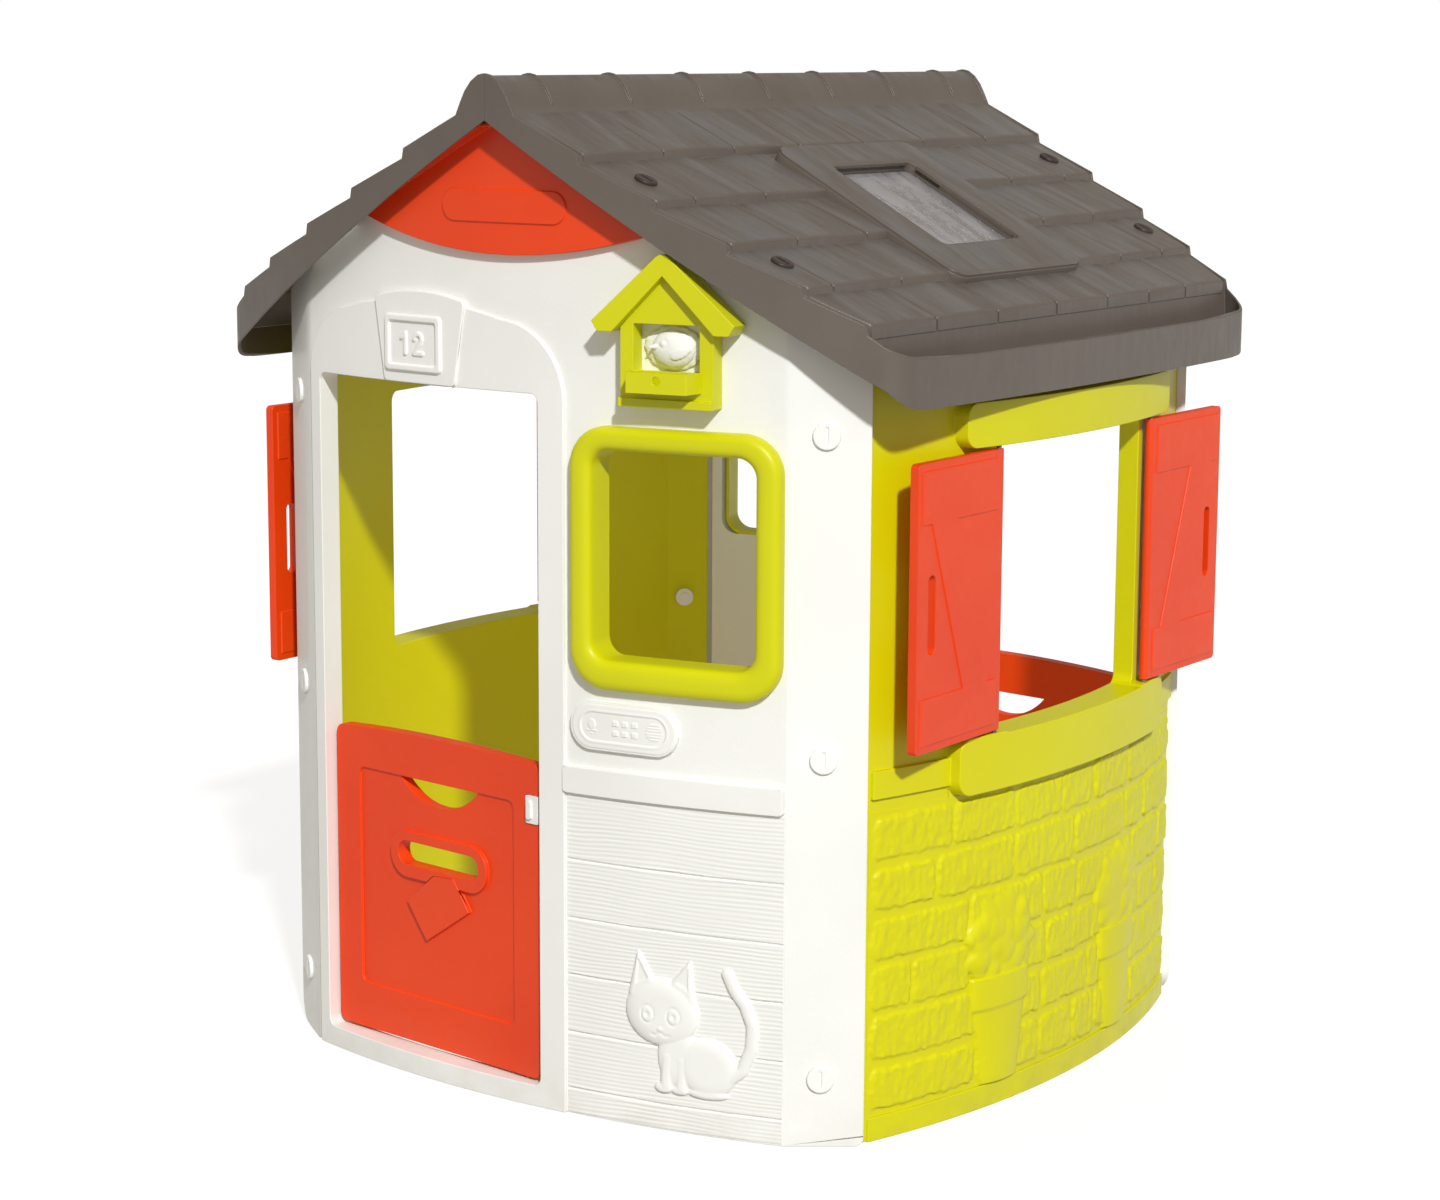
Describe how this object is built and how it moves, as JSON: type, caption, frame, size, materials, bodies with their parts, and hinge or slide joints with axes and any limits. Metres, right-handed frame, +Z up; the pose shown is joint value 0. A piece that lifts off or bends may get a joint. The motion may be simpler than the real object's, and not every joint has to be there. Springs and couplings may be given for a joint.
{
  "type": "plastic playhouse",
  "caption": "Garden playhouse with hinged half doors, swinging shutters, tiled roof with skylights and bowed walls.",
  "frame": {"origin": "on the ground, at the centre of the house's outline", "axes": "+Z up; the front wall with the number plate faces -Y; the ridge runs along Y; the shuttered walls face +X and -X"},
  "size_m": [1.364, 1.406, 1.62],
  "materials": {
    "white_plastic": "satin moulded, fine grain",
    "lime_plastic": "satin moulded, fine grain",
    "red_plastic": "satin moulded",
    "roof_plastic": "satin moulded with streaks",
    "skylight_plastic": "translucent",
    "dark_plastic": "satin moulded"
  },
  "bodies": {
    "house": {"front_wall": "white_plastic", "back_wall": "white_plastic", "right_wall": "lime_plastic", "left_wall": "lime_plastic", "roof_right": "roof_plastic", "roof_left": "roof_plastic", "skylight_right": "skylight_plastic", "skylight_left": "skylight_plastic", "gable_front": "red_plastic", "gable_back": "red_plastic", "window_frame_front": "lime_plastic", "window_frame_back": "lime_plastic", "bird_house": "lime_plastic", "bird_tray": "lime_plastic", "bird_figure": "white_plastic", "front_door_brackets": "white_plastic", "back_door_brackets": "white_plastic", "front_door_pins": "white_plastic", "back_door_pins": "white_plastic", "shutter_pins_right": "lime_plastic", "shutter_pins_left": "lime_plastic", "corner_screws": "white_plastic", "corner_nuts": "white_plastic", "roof_screws": "dark_plastic", "gutter_drain_plugs": "dark_plastic"},
    "front_door": {"front_door": "red_plastic", "front_door_latch": "white_plastic"},
    "back_door": {"back_door": "red_plastic", "back_door_latch": "white_plastic"},
    "shutter_right_front": {"shutter_right_front": "red_plastic"},
    "shutter_right_back": {"shutter_right_back": "red_plastic"},
    "shutter_left_back": {"shutter_left_back": "red_plastic"},
    "shutter_left_front": {"shutter_left_front": "red_plastic"}
  },
  "joints": [
    {"name": "front_door_hinge", "type": "hinge", "parent": "house", "child": "front_door", "pos_m": [-0.436, -0.537, 0.295], "axis": [0, 0, 1], "range_deg": [0, 95]},
    {"name": "back_door_hinge", "type": "hinge", "parent": "house", "child": "back_door", "pos_m": [0.436, 0.537, 0.295], "axis": [0, 0, 1], "range_deg": [0, 95]},
    {"name": "shutter_right_front_hinge", "type": "hinge", "parent": "house", "child": "shutter_right_front", "pos_m": [0.64, -0.249, 0.8375], "axis": [0, 0, 1], "range_deg": [0, 180]},
    {"name": "shutter_right_back_hinge", "type": "hinge", "parent": "house", "child": "shutter_right_back", "pos_m": [0.64, 0.249, 0.8375], "axis": [0, 0, -1], "range_deg": [0, 180]},
    {"name": "shutter_left_back_hinge", "type": "hinge", "parent": "house", "child": "shutter_left_back", "pos_m": [-0.64, 0.249, 0.8375], "axis": [0, 0, 1], "range_deg": [0, 180]},
    {"name": "shutter_left_front_hinge", "type": "hinge", "parent": "house", "child": "shutter_left_front", "pos_m": [-0.64, -0.249, 0.8375], "axis": [0, 0, -1], "range_deg": [0, 180]}
  ]
}
